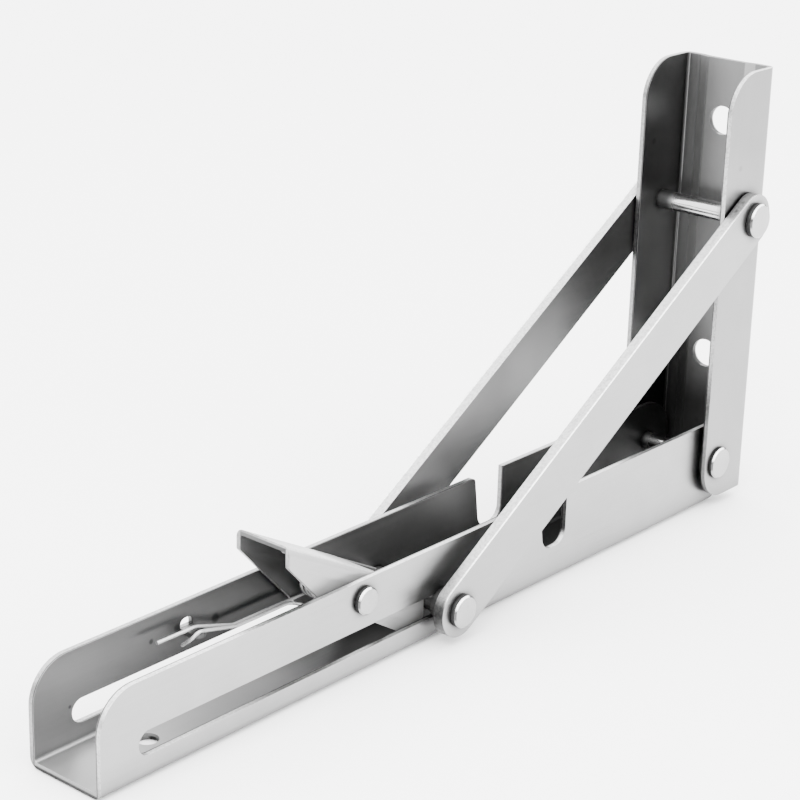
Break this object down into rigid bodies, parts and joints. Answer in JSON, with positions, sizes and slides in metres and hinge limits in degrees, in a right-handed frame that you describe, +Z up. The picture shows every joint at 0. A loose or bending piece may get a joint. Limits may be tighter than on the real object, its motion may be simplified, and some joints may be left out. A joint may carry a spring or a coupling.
{
  "type": "drop leaf table bracket",
  "caption": "Folding bracket for a drop leaf: two hinged steel channels, flat braces on a sliding pin and a sprung thumb lever.",
  "frame": {"origin": "centre of the long arm's inner screw hole, on the face that screws under the leaf", "axes": "+Z up along the upright arm as opened, +X along the long arm towards what the upright arm screws to, Y along the rivets"},
  "size_m": [0.2429, 0.0398, 0.124],
  "materials": {
    "steel_sheet": "satin",
    "steel_brace": "satin",
    "steel_rivet": "polished",
    "spring_wire": "polished"
  },
  "bodies": {
    "leaf": {"leaf_arm": "steel_sheet", "pivot_rivet": "steel_rivet", "pivot_washer_front": "steel_rivet", "pivot_washer_back": "steel_rivet", "lever_rivet": "steel_rivet", "lever_spring": "spring_wire"},
    "wall": {"wall_arm": "steel_sheet", "upper_cross_rod": "steel_rivet"},
    "links": {"brace_front": "steel_brace", "brace_back": "steel_brace", "lower_rivet_head_front": "steel_rivet", "lower_rivet_head_back": "steel_rivet"},
    "slider": {"slide_pin": "steel_rivet", "spacer_bush_front": "steel_rivet", "spacer_bush_back": "steel_rivet"},
    "lever": {"release_lever": "steel_sheet"}
  },
  "joints": [
    {"name": "fold", "type": "hinge", "parent": "leaf", "child": "wall", "pos_m": [0.03, 0, 0.0135], "axis": [0, -1, 0], "range_deg": [0, 90]},
    {"name": "brace_turn", "type": "hinge", "parent": "wall", "child": "links", "pos_m": [0.03385, 0, 0.084], "axis": [0, 1, 0], "range_deg": [0, 118.41]},
    {"name": "pin_slide", "type": "slide", "parent": "leaf", "child": "slider", "axis": [-1, 0, 0], "range_m": [0, 0.09545]},
    {"name": "release", "type": "hinge", "parent": "leaf", "child": "lever", "pos_m": [-0.1157, 0, 0.0193], "axis": [0, -1, 0], "range_deg": [0, 24], "stiffness_Nm_per_rad": 0.12, "springref_deg": -20.05, "deforming": ["lever_spring"]}
  ],
  "couplings": [
    {"joint": "brace_turn", "follows": "fold", "ratio": 1.3156},
    {"joint": "pin_slide", "follows": "fold", "m_per_rad": 0.06076}
  ]
}
